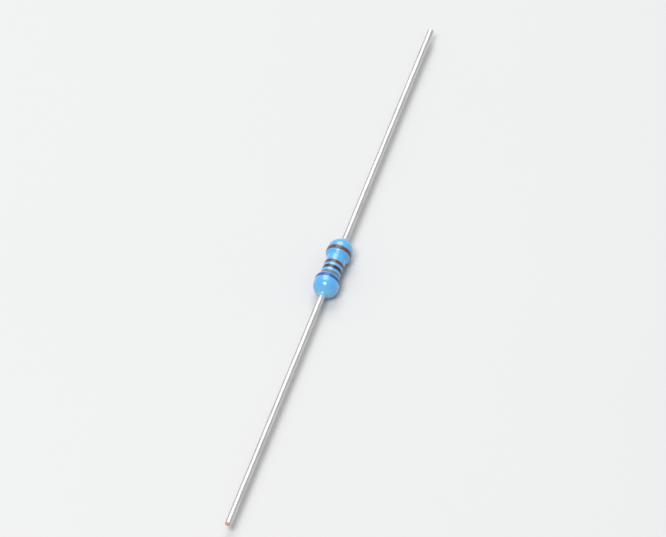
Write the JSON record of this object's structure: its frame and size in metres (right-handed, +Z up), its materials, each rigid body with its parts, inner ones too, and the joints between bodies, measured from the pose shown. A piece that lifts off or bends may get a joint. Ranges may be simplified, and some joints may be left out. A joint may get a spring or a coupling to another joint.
{
  "type": "axial resistor",
  "caption": "Quarter-watt metal film resistor: blue lacquered body with bulged ends and five value rings, and a straight tinned lead out of each end.",
  "frame": {"origin": "middle of the body on the axis of the leads", "axes": "+X along the leads from the first digit's ring to the tolerance ring, +Z up from the surface that the body lies on, +Y across the body"},
  "size_m": [0.0624, 0.0024, 0.0024],
  "materials": {
    "alumina": "matt white fired ceramic",
    "nickel_chromium_film": "satin grey metal film",
    "plated_steel_cap": "satin tin plate",
    "tinned_copper": "satin hot-tinned wire",
    "blue_lacquer": "semi-gloss light blue lacquer",
    "brown_ink": "semi-gloss ink",
    "black_ink": "semi-gloss ink",
    "blue_ink": "semi-gloss ink",
    "grey_ink": "semi-gloss ink"
  },
  "bodies": {
    "root": {"ceramic_rod": "alumina", "resistive_film": "nickel_chromium_film", "left_end_cap": "plated_steel_cap", "right_end_cap": "plated_steel_cap", "left_lead": "tinned_copper", "right_lead": "tinned_copper", "lacquer_coat": "blue_lacquer", "band_1_first_digit": "blue_ink", "band_2_second_digit": "grey_ink", "band_3_third_digit": "black_ink", "band_4_multiplier": "brown_ink", "band_5_tolerance": "brown_ink"}
  },
  "joints": []
}
